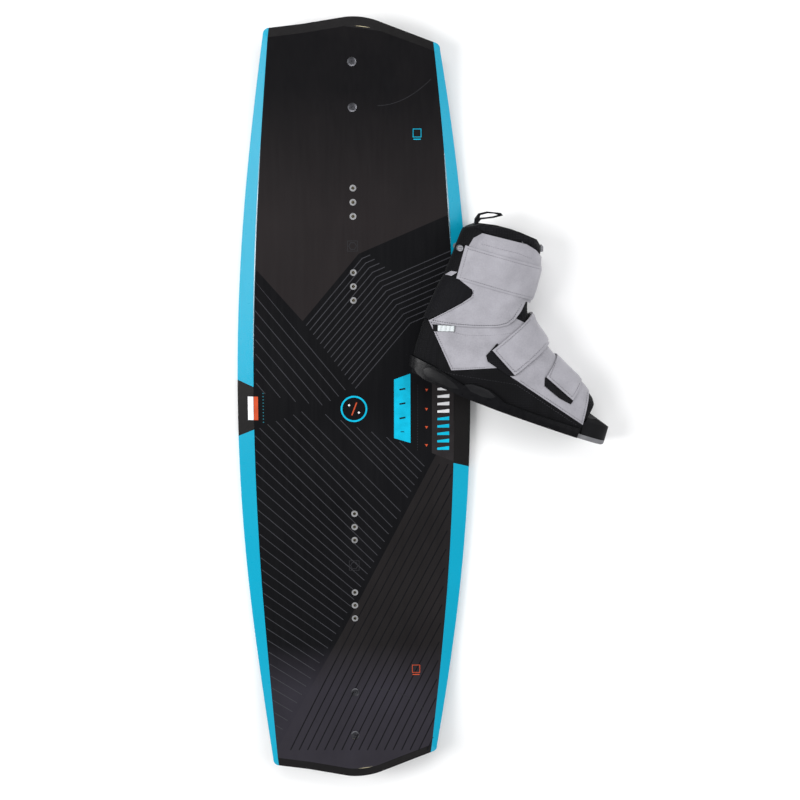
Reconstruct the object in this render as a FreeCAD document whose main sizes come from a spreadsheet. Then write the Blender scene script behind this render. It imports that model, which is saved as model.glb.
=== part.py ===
"""A wakeboard with one loose binding boot, as an assembly of separate pieces, in millimetres.

Row frame: the origin is on the ground under the centre of the board's flat base, +Y runs along the board
to its nose, +X points to the side where the boot lies and +Z points up, out of the deck. The board lies on
its base and the open-toed boot lies on its inner side across the board's +X rail.

Boot frame: +X runs from the heel to the toes, +Z from the sole up the shaft and -Y to the foot's outer side.
"""
import FreeCAD, Part
import math
import os

import Sketcher

V = FreeCAD.Vector

DIMENSIONS = {
    # board, plan
    "half_length": 700.5,
    "half_width": 215.0,
    "left_corner_x": 155.5,
    "left_corner_y": 670.0,
    "left_tip_x": 146.0,
    "left_tip_y": 682.0,
    "right_corner_x": 155.5,
    "right_corner_y": 645.0,
    "right_tip_x": 146.5,
    "right_tip_y": 657.5,
    "left_side_radius": 3802.0,
    "right_side_radius": 3526.0,
    "corner_radius": 12.0,
    "tip_bend_x": 85.0,
    "tip_bend_y": 689.0,
    "tip_peak_x": 12.0,
    "tip_shoulder_x": 50.0,
    "tip_shoulder_y": 692.5,
    "tip_radius": 126.0,
    "cap_band": 16.0,
    "plan_overrun": 720.0,
    "left_inner_x": 140.1,
    "right_inner_x": 135.1,
    "left_inner_radius": 5800.0,
    "right_inner_radius": 5170.0,
    # board, side view
    "thickness": 22.0,
    "deck_flat_y": 410.0,
    "deck_end_z": 74.7,
    "deck_kick_radius": 880.0,
    "side_overrun": 710.0,
    "base_flat_y": 220.0,
    "base_mid_y": 440.0,
    "base_mid_z": 5.0,
    "base_end_z": 62.1,
    "base_mid_radius": 4842.5,
    "base_kick_radius": 850.0,
    "skin": 1.5,
    "bevel_drop": 6.0,
    # waist pieces of the rails
    "left_waist_outer": 59.5,
    "left_waist_inner": 37.8,
    "right_waist_outer": 115.0,
    "right_waist_inner": 101.7,
    "waist_reach": 230.0,
    "waist_root": 180.0,
    # binding inserts and fins
    "insert_pitch": 25.4,
    "insert_near": 225.4,
    "insert_far": 377.8,
    "insert_bore": 3.0,
    "insert_body": 4.6,
    "insert_flange": 6.0,
    "insert_flange_depth": 1.5,
    "insert_depth": 15.0,
    "fin_screw_near": 546.0,
    "fin_screw_far": 625.0,
    "fin_screw_shank": 2.9,
    "fin_screw_hole": 3.1,
    "fin_screw_head": 5.2,
    "fin_washer": 8.0,
    "fin_width": 9.0,
    "fin_root_near": 523.0,
    "fin_root_far": 647.0,
    # boot
    "chassis_lip": 6.0,
    "boot_reach": 120.0,
    "shell_skin": 3.0,
    "liner_skin": 7.5,
    "slot_half": 3.4,
    "slot_length": 30.0,
    "soft_gap": 0.3,
    "cuff_lift": 2.0,
    "cuff_skin": 2.5,
    "tab_skin": 1.3,
    "upper_strap_skin": 3.2,
    "mid_strap_skin": 4.5,
    "toe_strap_skin": 3.5,
    "rivet_radius": 5.5,
    "front_tab_width": 12.0,
    "pull_loop_width": 14.0,
    # how the boot lies
    "boot_x": 101.2,
    "boot_y": 66.2,
    "boot_z": 73.2,
    "boot_heading": -19.7,
    "boot_roll": -1.75,
    "boot_pitch": 4.25,
}

# Boot outlines from sole to collar: height, heel, toe, half width at the ball, half width at the heel.
BOOT_SECTIONS = [
    (-3, 3, 379, 55, 37),
    (10, 1, 379, 56, 38),
    (34, -5, 377, 56, 40),
    (60, -8, 354, 55, 41),
    (85, -9, 321, 52, 42),
    (100, -10, 293, 49, 43),
    (118, -9, 253, 46, 43),
    (135, -8, 221, 44, 43),
    (155, -6, 196, 43, 43),
    (175, -4, 170, 42, 43),
    (200, 0, 157, 43, 43),
    (235, 2, 154, 46, 45),
    (270, 3, 150, 48, 47),
    (316, 5, 138, 49, 48),
]
INSTEP_LOW, INSTEP_HIGH = 80, 180
INSTEP_SLOPE_GAIN = 1.8
SECTION_POINTS = 20

# Side-view outlines of the boot's panels, as (x, z) in the boot frame. Neighbours share their corners.
LOWER_SHELL = [(-30, 10.4), (324, 10.4), (322, 25), (180, 62), (158.5, 67), (137, 72), (63, 40), (-4, 110),
               (-30, 112)]
QUARTER = [(-4, 110), (63, 40), (137, 72), (158.5, 67), (172, 165), (160, 164), (140, 166), (114, 150),
           (40, 126)]
VAMP = [(158.5, 67), (180, 62), (322, 25), (317, 89), (312, 150), (190, 200), (176, 178), (172, 165)]
CUFF_SHELL = [(-4, 110), (40, 118), (114, 142), (133, 154), (140, 165), (148, 200), (190, 200), (190, 270),
              (152, 276), (135, 290), (110, 296), (69, 292), (30, 288), (16, 258), (20, 198), (47, 189),
              (50, 177), (38, 159)]
CUFF_SPINE = [(-30, 203), (20, 198), (16, 258), (30, 288), (27, 291), (13, 292), (2, 286), (-30, 286)]
COLLAR = [(-30, 284), (28, 290), (69, 294), (110, 298), (137, 292), (154, 278), (190, 272), (190, 286),
          (152, 288), (142, 299), (127, 310), (91, 312), (60, 309), (22, 301), (4, 289), (-30, 286)]
GUSSET = [(-30, 113), (-5, 112), (37, 160), (49, 177), (46, 188.4), (20, 197.4), (-30, 202.4)]
LINER_LOW = [(-30, 25), (272, 25), (268, 96), (234, 112), (176, 140), (150, 158), (140, 166), (114, 151),
             (40, 127), (-30, 113)]
LINER_HIGH = [(-30, 113), (40, 127), (114, 151), (140, 166), (126, 196), (126, 294), (110, 297), (69, 293),
              (28, 289), (-30, 283)]
TONGUE = [(234, 112), (176, 140), (150, 158), (140, 166), (126, 196), (126, 294), (137, 291), (154, 277),
          (190, 271), (210, 180), (250, 116)]
FOOTBED = [(-30, 10.4), (318, 10.4), (318, 24), (-30, 24)]
TOE_BLOCK = [(324.5, 8.3), (390, 8.3), (390, 32), (379, 33.5), (345, 43), (327, 40), (322.5, 25.5)]
TOE_WEDGE = [(319.5, 0), (372, 0), (390, 6), (390, 8), (319.5, 8)]
TOE_BAND = [(296, 40), (326, 36), (333, 66), (324, 84), (300, 110)]
CHASSIS = [(-30, 20), (0, 20), (10, 12.5), (24, 8), (60, 5), (110, 2), (170, 0.5), (319, 0), (319, 17.5),
           (222, 17), (170, 18.5), (155, 25), (137, 31), (105, 31.5), (92, 23), (70, 28), (28, 36.5),
           (-30, 42)]
UPPER_STRAP = [(15, 198), (190, 207.5), (184, 270), (158, 268), (10.5, 258)]
MID_STRAP = [(118, 99.5), (171, 71), (247, 190), (184, 206)]
TOE_STRAP = [(227, 86), (288, 62), (303, 128), (243, 140)]
MID_STRAP_TAB = [(122, 114), (111, 87), (117, 78), (162, 66), (172, 70), (181, 87)]
TOE_STRAP_TAB = [(236, 100), (225, 84), (229, 70), (262, 58), (287, 54), (289, 62), (292, 78)]
LABEL_TAG = [(9.2, 95), (44.8, 108), (40.8, 119), (5.1, 106.4)]
FRONT_TAB = [(133, 297), (143, 289), (150, 294), (147, 302), (138, 307)]
PULL_LOOP = [
    (16.3, 285), (19, 285), (21, 300), (24.5, 309.6), (45.6, 320.2), (59.1, 329.4), (54.4, 332.3),
    (31.2, 326.6), (17.8, 318.2), (14.6, 307), (16.7, 299),
]
PULL_LOOP_EYE = [(21.5, 311.2), (32, 316), (44, 322), (52, 327.4), (44, 327.4), (32, 324), (20.4, 316.2)]
CUFF_RIVET = (3.5, 250.0)
CHASSIS_SLOTS = [(80, 20), (80, -20), (196, 26), (196, -26)]

doc = FreeCAD.newDocument("wakeboard")
sheet = doc.addObject("Spreadsheet::Sheet", "d")
sheet.Label = "dimensions"
for row, (alias, size) in enumerate(DIMENSIONS.items(), start=1):
    sheet.set(f"A{row}", alias)
    sheet.set(f"B{row}", str(size))
    sheet.setAlias(f"B{row}", alias)
doc.recompute()

nodes = []


def number(value):
    """The number that a value has now: a plain number, or an expression of the sheet's cells."""
    return float(sheet.evalExpression(value)) if isinstance(value, str) else float(value)


def bind(target, prop, value):
    """Sets a property, and ties it to the sheet when the value is an expression."""
    if isinstance(value, str):
        target.setExpression(prop, value)
    else:
        setattr(target, prop, value)


def node(thing, name):
    """Marks an object as one sub-part, and gives it the name of its file."""
    thing.Label = name
    nodes.append(thing)
    return thing


# ---------------------------------------------------------------- sketches and solids


def arc_middle(start, end, radius):
    """The middle of the arc between two points. A positive radius bulges to the right of the way."""
    chord = end - start
    rise = abs(radius) - math.sqrt(radius**2 - (chord.Length / 2) ** 2)
    side = V(chord.y, -chord.x, 0).normalize() * math.copysign(1, radius)
    return (start + end) * 0.5 + side * rise


def closed_sketch(body, role, name, corners):
    """A closed outline in one of the body's origin planes. Each corner is (x, y) or (x, y, radius), where the
    radius is that of the arc from this corner to the next. Every corner is held by two distances."""
    sketch = body.newObject("Sketcher::SketchObject", name)
    plane = [f for f in body.Origin.OriginFeatures if f.Role == role][0]
    sketch.AttachmentSupport = [(plane, "")]
    sketch.MapMode = "FlatFace"
    places = [V(number(c[0]), number(c[1]), 0) for c in corners]
    ends = []
    for i, corner in enumerate(corners):
        start, end = places[i], places[(i + 1) % len(places)]
        if len(corner) == 2:
            edge = sketch.addGeometry(Part.LineSegment(start, end))
        else:
            edge = sketch.addGeometry(Part.Arc(start, arc_middle(start, end, number(corner[2])), end))
        first = 1 if sketch.getPoint(edge, 1).distanceToPoint(start) < 1e-6 else 2
        ends.append((first, 3 - first))
    for i, corner in enumerate(corners):
        after = (i + 1) % len(corners)
        sketch.addConstraint(Sketcher.Constraint("Coincident", i, ends[i][1], after, ends[after][0]))
        for kind, value in (("DistanceX", corner[0]), ("DistanceY", corner[1])):
            held = sketch.addConstraint(Sketcher.Constraint(kind, -1, 1, i, ends[i][0], number(value)))
            if isinstance(value, str):
                sketch.setExpression(f"Constraints[{held}]", value)
        if len(corner) == 3:
            held = sketch.addConstraint(Sketcher.Constraint("Radius", i, abs(number(corner[2]))))
            if isinstance(corner[2], str):
                sketch.setExpression(f"Constraints[{held}]", f"abs({corner[2]})")
    return sketch


def prism(name, role, corners, length, both_ways=False):
    """A body padded from one closed outline."""
    body = doc.addObject("PartDesign::Body", name)
    sketch = closed_sketch(body, role, name + "_outline", corners)
    pad = body.newObject("PartDesign::Pad", name + "_pad")
    pad.Profile = sketch
    pad.Midplane = both_ways
    bind(pad, "Length", length)
    return body


def turned(name, corners, place):
    """A body turned about its own Z axis from a half outline in its XZ plane."""
    body = doc.addObject("PartDesign::Body", name)
    sketch = closed_sketch(body, "XZ_Plane", name + "_outline", corners)
    turn = body.newObject("PartDesign::Revolution", name + "_turn")
    turn.Profile = sketch
    turn.ReferenceAxis = (sketch, ["V_Axis"])
    turn.Angle = 360
    body.Placement = place
    return body


def common(name, *shapes):
    joined = doc.addObject("Part::MultiCommon", name)
    joined.Refine = False
    joined.Shapes = list(shapes)
    return joined


def cut(name, base, *tools):
    """Base less every tool."""
    tool = tools[0]
    if len(tools) > 1:
        tool = group(name + "_tools", tools)
    less = doc.addObject("Part::Cut", name)
    less.Refine = False
    less.Base = base
    less.Tool = tool
    return less


def group(name, members):
    together = doc.addObject("Part::Compound", name)
    together.Links = list(members)
    return together


def cylinder(name, radius, height, place):
    round_bar = doc.addObject("Part::Cylinder", name)
    bind(round_bar, "Radius", radius)
    bind(round_bar, "Height", height)
    round_bar.Placement = place
    return round_bar


def at(x, y, z):
    return FreeCAD.Placement(V(x, y, z), FreeCAD.Rotation())


def freeform(name, shape):
    """A solid that no sketch or primitive gives."""
    feature = doc.addObject("Part::Feature", name)
    feature.Shape = shape
    return feature


# ---------------------------------------------------------------- board


def arc_height(y, centre_y, centre_z, radius):
    return centre_z - math.sqrt(radius**2 - (y - centre_y) ** 2)


def deck_height(y):
    """Height of the deck's face at a distance from the board's middle."""
    flat, radius = number("d.deck_flat_y"), number("d.deck_kick_radius")
    if abs(y) <= flat:
        return number("d.thickness")
    return arc_height(abs(y), flat, number("d.thickness") + radius, radius)


def base_height(y):
    """Height of the base's face at a distance from the board's middle."""
    flat, middle = number("d.base_flat_y"), number("d.base_mid_y")
    gentle, kick = number("d.base_mid_radius"), number("d.base_kick_radius")
    if abs(y) <= flat:
        return 0.0
    if abs(y) <= middle:
        return arc_height(abs(y), flat, gentle, gentle)
    slope = math.asin((middle - flat) / gentle)
    centre_y = middle - kick * math.sin(slope)
    return arc_height(abs(y), centre_y, number("d.base_mid_z") + kick * math.cos(slope), kick)


def shifted(expression, shift):
    return f"{expression} + {shift}" if shift else expression


def deck_line(shift=""):
    """The deck's face in side view, from the nose back to the tail."""
    end, kick = shifted("d.deck_end_z", shift), shifted("d.thickness", shift)
    return [
        ("d.side_overrun", end, "-d.deck_kick_radius"),
        ("d.deck_flat_y", kick),
        ("-d.deck_flat_y", kick, "-d.deck_kick_radius"),
        ("-d.side_overrun", end),
    ]


def base_line(shift=""):
    """The base's face in side view, from the tail forward to the nose."""
    end, middle = shifted("d.base_end_z", shift), shifted("d.base_mid_z", shift)
    flat = shift or 0.0
    return [
        ("-d.side_overrun", end, "d.base_kick_radius"),
        ("-d.base_mid_y", middle, "d.base_mid_radius"),
        ("-d.base_flat_y", flat),
        ("d.base_flat_y", flat, "d.base_mid_radius"),
        ("d.base_mid_y", middle, "d.base_kick_radius"),
        ("d.side_overrun", end),
    ]


def reversed_line(corners):
    """The same line walked the other way: each arc moves to the corner where it now starts and flips."""
    back = []
    for i in range(len(corners) - 1, -1, -1):
        x, y = corners[i][:2]
        before = corners[i - 1] if i else ()
        if len(before) == 3:
            back.append((x, y, before[2][1:] if before[2].startswith("-") else "-" + before[2]))
        else:
            back.append((x, y))
    return back


def board_layer(name, lower, upper):
    """A full-width slab between two side-view lines."""
    return prism(name, "YZ_Plane", lower + upper, "2 * d.waist_reach", both_ways=True)


def tip_line(way, inset=""):
    """The tip's plan outline from right rail to left, at the nose for way "" and the tail for "-"."""
    back = f" - {inset}" if inset else ""
    return [
        ("d.right_tip_x", f"{way}(d.right_tip_y{back})"),
        ("d.tip_shoulder_x", f"{way}(d.tip_shoulder_y{back})", "-d.tip_radius" if way else "d.tip_radius"),
        ("-d.tip_peak_x", f"{way}(d.half_length{back})"),
        ("-d.tip_bend_x", f"{way}(d.tip_bend_y{back})"),
        ("-d.left_tip_x", f"{way}(d.left_tip_y{back})"),
    ]


def board_outline():
    """Plan outline of the whole board, anticlockwise from the tail's right corner."""
    nose = tip_line("")
    tail = tip_line("-")
    right_tail = ("d.right_corner_x", "-d.right_corner_y", "d.right_side_radius")
    right_nose = ("d.right_corner_x", "d.right_corner_y", "d.corner_radius")
    left_nose = ("-d.left_corner_x", "d.left_corner_y", "d.left_side_radius")
    left_tail = ("-d.left_corner_x", "-d.left_corner_y", "d.corner_radius")
    nose[-1] = nose[-1] + ("d.corner_radius",)
    tail_back = [
        tail[4],
        tail[3],
        (tail[2][0], tail[2][1], "d.tip_radius"),
        tail[1][:2],
        tail[0] + ("d.corner_radius",),
    ]
    corners = [right_tail, right_nose] + nose + [left_nose, left_tail] + tail_back
    return prism("plan", "XY_Plane", corners, "d.deck_end_z + 20")


def inner_zone():
    """Everything between the two rails."""
    corners = [
        ("d.right_inner_x", "-d.plan_overrun", "d.right_inner_radius"),
        ("d.right_inner_x", "d.plan_overrun"),
        ("-d.left_inner_x", "d.plan_overrun", "d.left_inner_radius"),
        ("-d.left_inner_x", "-d.plan_overrun"),
    ]
    return prism("between_rails", "XY_Plane", corners, "d.deck_end_z + 20")


def cap_zone(name, way):
    """Everything ahead of the bevelled band at one tip."""
    line = tip_line(way, "d.cap_band")
    line[0] = ("d.waist_root", f"{way}(d.right_tip_y - d.cap_band - 12)")
    line[-1] = ("-d.waist_root", f"{way}(d.left_tip_y - d.cap_band - 4)")
    line += [("-d.waist_root", f"{way}d.plan_overrun"), ("d.waist_root", f"{way}d.plan_overrun")]
    return prism(name, "XY_Plane", line, "d.deck_end_z + 20")


def waist_zone(name, way, outer, inner):
    """The slanted block that a waist piece takes out of its rail."""
    corners = [
        (f"{way}d.waist_reach", f"-{outer}"),
        (f"{way}d.waist_reach", outer),
        (f"{way}d.waist_root", inner),
        (f"{way}d.waist_root", f"-{inner}"),
    ]
    return prism(name, "XY_Plane", corners, "d.deck_end_z + 20")


def side_x(y, reach, radius, corner_y=0.0):
    """Distance of a side arc from the board's middle line at a station along it."""
    widest = reach + radius - math.sqrt(radius**2 - corner_y**2)
    return widest - radius + math.sqrt(radius**2 - y**2)


def rail_bevel(name, way, stations):
    """The wedge planed off the top of one rail: nothing at its inner line, the full drop at its outer."""
    overrun, drop = number("d.plan_overrun"), number("d.bevel_drop")
    side = "right" if way > 0 else "left"
    inner_end, inner_radius = number(f"d.{side}_inner_x"), number(f"d.{side}_inner_radius")
    corner_x, corner_y = number(f"d.{side}_corner_x"), number(f"d.{side}_corner_y")
    outer_radius = number(f"d.{side}_side_radius")
    beyond = 8.0
    wires = []
    for y in stations:
        top = deck_height(y)
        inner = side_x(y, inner_end, inner_radius, overrun)
        outer = side_x(y, corner_x, outer_radius, corner_y)
        slope = drop / (outer - inner)
        corners = [
            V(way * inner, y, top),
            V(way * (outer + beyond), y, top - drop - slope * beyond),
            V(way * (outer + beyond), y, top + beyond),
            V(way * inner, y, top + beyond),
        ]
        wires.append(Part.makePolygon(corners + corners[:1]))
    return freeform(name, Part.makeLoft(wires, True, False))


def tip_bevel(name, way):
    """The wedge planed off the top of one tip, across the band of its cap."""
    band, drop = number("d.cap_band"), number("d.bevel_drop")
    beyond = 8.0
    corners = [(number(c[0]), number(c[1])) for c in tip_line("")]
    x_end = number("d.waist_root")
    right_slope = (corners[1][1] - corners[0][1]) / (corners[1][0] - corners[0][0])
    left_slope = (corners[3][1] - corners[4][1]) / (corners[3][0] - corners[4][0])
    line = [
        (x_end, corners[0][1] + right_slope * (x_end - corners[0][0])),
        corners[1],
        corners[2],
        corners[3],
        (-x_end, corners[4][1] + left_slope * (-x_end - corners[4][0])),
    ]
    wires = []
    for x, y in line:
        inner_y, outer_y = way * (y - band), way * (y + beyond)
        section = [
            V(x, inner_y, deck_height(inner_y)),
            V(x, outer_y, deck_height(y) - drop * (1 + beyond / band)),
            V(x, outer_y, deck_height(y) + beyond),
            V(x, inner_y, deck_height(inner_y) + beyond),
        ]
        wires.append(Part.makePolygon(section + section[:1]))
    return freeform(name, Part.makeLoft(wires, True, True))


def insert_places():
    """Middle-line stations of the binding inserts, nose first: two groups of three on each half."""
    pitch = number("d.insert_pitch")
    groups = [number("d.insert_far"), number("d.insert_near")]
    return [middle + step * pitch for middle in groups for step in (1, 0, -1)]


def insert_set(name, way):
    """Six flanged inserts with M6 threads, flush with the deck."""
    members, pockets = [], []
    top = number("d.thickness")
    for i, y in enumerate(insert_places(), start=1):
        corners = [
            ("d.insert_bore", "-d.insert_depth + 2"),
            ("d.insert_body", "-d.insert_depth + 2"),
            ("d.insert_body", "-d.insert_flange_depth"),
            ("d.insert_flange", "-d.insert_flange_depth"),
            ("d.insert_flange", 0.0),
            ("d.insert_bore", 0.0),
        ]
        members.append(turned(f"{name}_{i}", corners, at(0, way * y, top)))
        pocket = [(0.0, "-d.insert_depth + 2")] + corners[1:5] + [(0.0, 0.0)]
        pockets.append(turned(f"{name}_pocket_{i}", pocket, at(0, way * y, top)))
    return node(group(name, members), name), pockets


def fin_screw_places(way):
    return [way * number("d.fin_screw_near"), way * number("d.fin_screw_far")]


def fin_hardware(end, way):
    """The screws and cup washers that hold one fin, and the clearance holes that they need."""
    screws, washers, holes = [], [], []
    for i, y in enumerate(fin_screw_places(way), start=1):
        top = deck_height(y) - 0.6
        reach = deck_height(y) - base_height(y) + 9.0
        screw = [
            (0.0, -reach),
            ("d.fin_screw_shank", -reach),
            ("d.fin_screw_shank", -3.6),
            ("d.fin_screw_head", -1.6),
            ("d.fin_screw_head", 0.4),
            ("1.8", 0.4),
            ("1.8", -1.4),
            (0.0, -1.4),
        ]
        washer = [
            ("d.fin_screw_shank + 0.05", -3.7),
            ("d.fin_screw_head + 1.4", -3.7),
            ("d.fin_washer", -0.6),
            ("d.fin_washer", 0.6),
            ("d.fin_screw_head + 0.05", 0.0),
            ("d.fin_screw_head + 0.05", -1.6),
            ("d.fin_screw_shank + 0.05", -3.6),
        ]
        seat = [
            (0.0, -3.7),
            ("d.fin_screw_head + 1.4", -3.7),
            ("d.fin_washer", -0.6),
            ("d.fin_washer", 9.0),
            (0.0, 9.0),
        ]
        screws.append(turned(f"{end}_fin_screw_{i}", screw, at(0, y, top)))
        washers.append(turned(f"{end}_fin_washer_{i}", washer, at(0, y, top)))
        holes.append(turned(f"{end}_fin_seat_{i}", seat, at(0, y, top)))
        foot = at(0, y, top - reach - 1.0)
        holes.append(cylinder(f"{end}_fin_hole_{i}", "d.fin_screw_hole", reach + 1.0, foot))
    node(group(f"{end}_fin_screws", screws), f"{end}_fin_screws")
    node(group(f"{end}_fin_washers", washers), f"{end}_fin_washers")
    return holes


def fin(end, way, holes):
    """A long low centre fin: its root follows the base, its tip is rounded off towards both ends."""
    sign = "" if way > 0 else "-"
    near, far = number("d.fin_root_near"), number("d.fin_root_far")
    corners = [
        (f"{sign}d.fin_root_near", base_height(near), "d.base_kick_radius"),
        (f"{sign}d.fin_root_far", base_height(far)),
        (f"{sign}(d.fin_root_far - 9)", base_height(far) - 16.0, 170.0),
        (f"{sign}(d.fin_root_near + 26)", 3.0),
    ]
    if way < 0:
        corners = [
            corners[1][:2] + ("d.base_kick_radius",),
            corners[0][:2],
            corners[3][:2] + (170.0,),
            corners[2][:2],
        ]
    # the corners run along the root first, so the root's arc bulges down into the blade
    blade = prism(f"{end}_fin_blade", "YZ_Plane", corners, "d.fin_width", both_ways=True)
    return node(cut(f"{end}_fin", blade, *holes), f"{end}_fin")


def build_board():
    plan, between = board_outline(), inner_zone()
    nose_zone, tail_zone = cap_zone("nose_zone", ""), cap_zone("tail_zone", "-")
    overrun = number("d.plan_overrun")
    flat = number("d.deck_flat_y")
    steps = [flat + (overrun - flat) * i / 4 for i in range(1, 5)]
    stations = [-y for y in reversed(steps)] + [-flat, -flat / 2, 0.0, flat / 2, flat] + steps
    wedges = [rail_bevel("left_bevel", -1, stations), rail_bevel("right_bevel", 1, stations)]
    wedges += [tip_bevel("nose_bevel", 1), tip_bevel("tail_bevel", -1)]
    slab = board_layer("slab", base_line(), deck_line())
    blank = cut("blank", common("flat_blank", slab, plan), *wedges)
    blank_nose, blank_tail = common("nose_blank", blank, nose_zone), common("tail_blank", blank, tail_zone)
    node(common("nose_cap", blank_nose, between), "nose_cap")
    node(common("tail_cap", blank_tail, between), "tail_cap")

    rails = cut("rails", blank, between)
    for side, sign in (("left", "-"), ("right", "")):
        waist = waist_zone(f"{side}_waist_zone", sign, f"d.{side}_waist_outer", f"d.{side}_waist_inner")
        node(common(f"{side}_waist_block", rails, waist), f"{side}_waist_block")
        rest = cut(f"{side}_rail_rest", rails, waist)
        for end, way in (("nose", ""), ("tail", "-")):
            corners = [
                (0.0, 0.0),
                (f"{sign}d.waist_reach", 0.0),
                (f"{sign}d.waist_reach", f"{way}d.plan_overrun"),
                (0.0, f"{way}d.plan_overrun"),
            ]
            quarter = prism(f"{side}_{end}_quarter", "XY_Plane", corners, "d.deck_end_z + 20")
            node(common(f"{side}_{end}_rail", rest, quarter), f"{side}_{end}_rail")

    pockets, holes = [], {}
    for end, way in (("nose", 1), ("tail", -1)):
        pockets += insert_set(f"{end}_inserts", way)[1]
        holes[end] = fin_hardware(end, way)
        fin(end, way, holes[end])
    every_hole = pockets + holes["nose"] + holes["tail"]

    middle = cut("middle_plan", common("between_plan", between, plan), nose_zone, tail_zone)
    layers = {
        "deck_sheet": board_layer("deck_slab", reversed_line(deck_line("(-d.skin)")), deck_line()),
        "foam_core": board_layer("core_slab", base_line("d.skin"), deck_line("(-d.skin)")),
        "base_sheet": board_layer("base_slab", base_line(), reversed_line(base_line("d.skin"))),
    }
    for name, layer in layers.items():
        sheet_blank = common(f"{name}_blank", layer, middle)
        node(cut(name, common(f"{name}_planed", sheet_blank, blank), *every_hole), name)


# ---------------------------------------------------------------- boot


def boot_place():
    """The boot lies on its inner side: its outer side faces up and its toes point across the rail."""
    lie = FreeCAD.Rotation(V(1, 0, 0), -90)
    heading = FreeCAD.Rotation(V(0, 0, 1), number("d.boot_heading"))
    roll = FreeCAD.Rotation(V(1, 0, 0), number("d.boot_roll"))
    pitch = FreeCAD.Rotation(V(0, 0, 1), number("d.boot_pitch"))
    spot = V(number("d.boot_x"), number("d.boot_y"), number("d.boot_z"))
    return FreeCAD.Placement(spot, heading * lie * roll * pitch)


def egg(height, heel, toe, ball_half, heel_half, grow):
    """A smooth closed outline at one height, wider at the ball than at the heel, grown outwards all round."""
    sloped = INSTEP_LOW <= height <= INSTEP_HIGH
    front = toe + grow * (INSTEP_SLOPE_GAIN if sloped else 1.0)
    rear = heel - grow
    middle, reach = (front + rear) / 2, (front - rear) / 2
    mean, lean = (ball_half + heel_half) / 2 + grow, (ball_half - heel_half) / 2
    points = []
    for i in range(SECTION_POINTS):
        angle = 2 * math.pi * i / SECTION_POINTS
        along, across = math.cos(angle), math.sin(angle)
        fullness = math.copysign(abs(across) ** 0.85, across)
        points.append(V(middle + reach * along, fullness * (mean + lean * along), height))
    curve = Part.BSplineCurve()
    curve.interpolate(Points=points, PeriodicFlag=True)
    return Part.Wire([curve.toShape()])


def boot_volume(name, grow):
    """The whole boot's form, from the sole to the collar, grown outwards by some distance."""
    wires = [egg(*section, grow) for section in BOOT_SECTIONS]
    return freeform(name, Part.makeLoft(wires, True, True))


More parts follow.
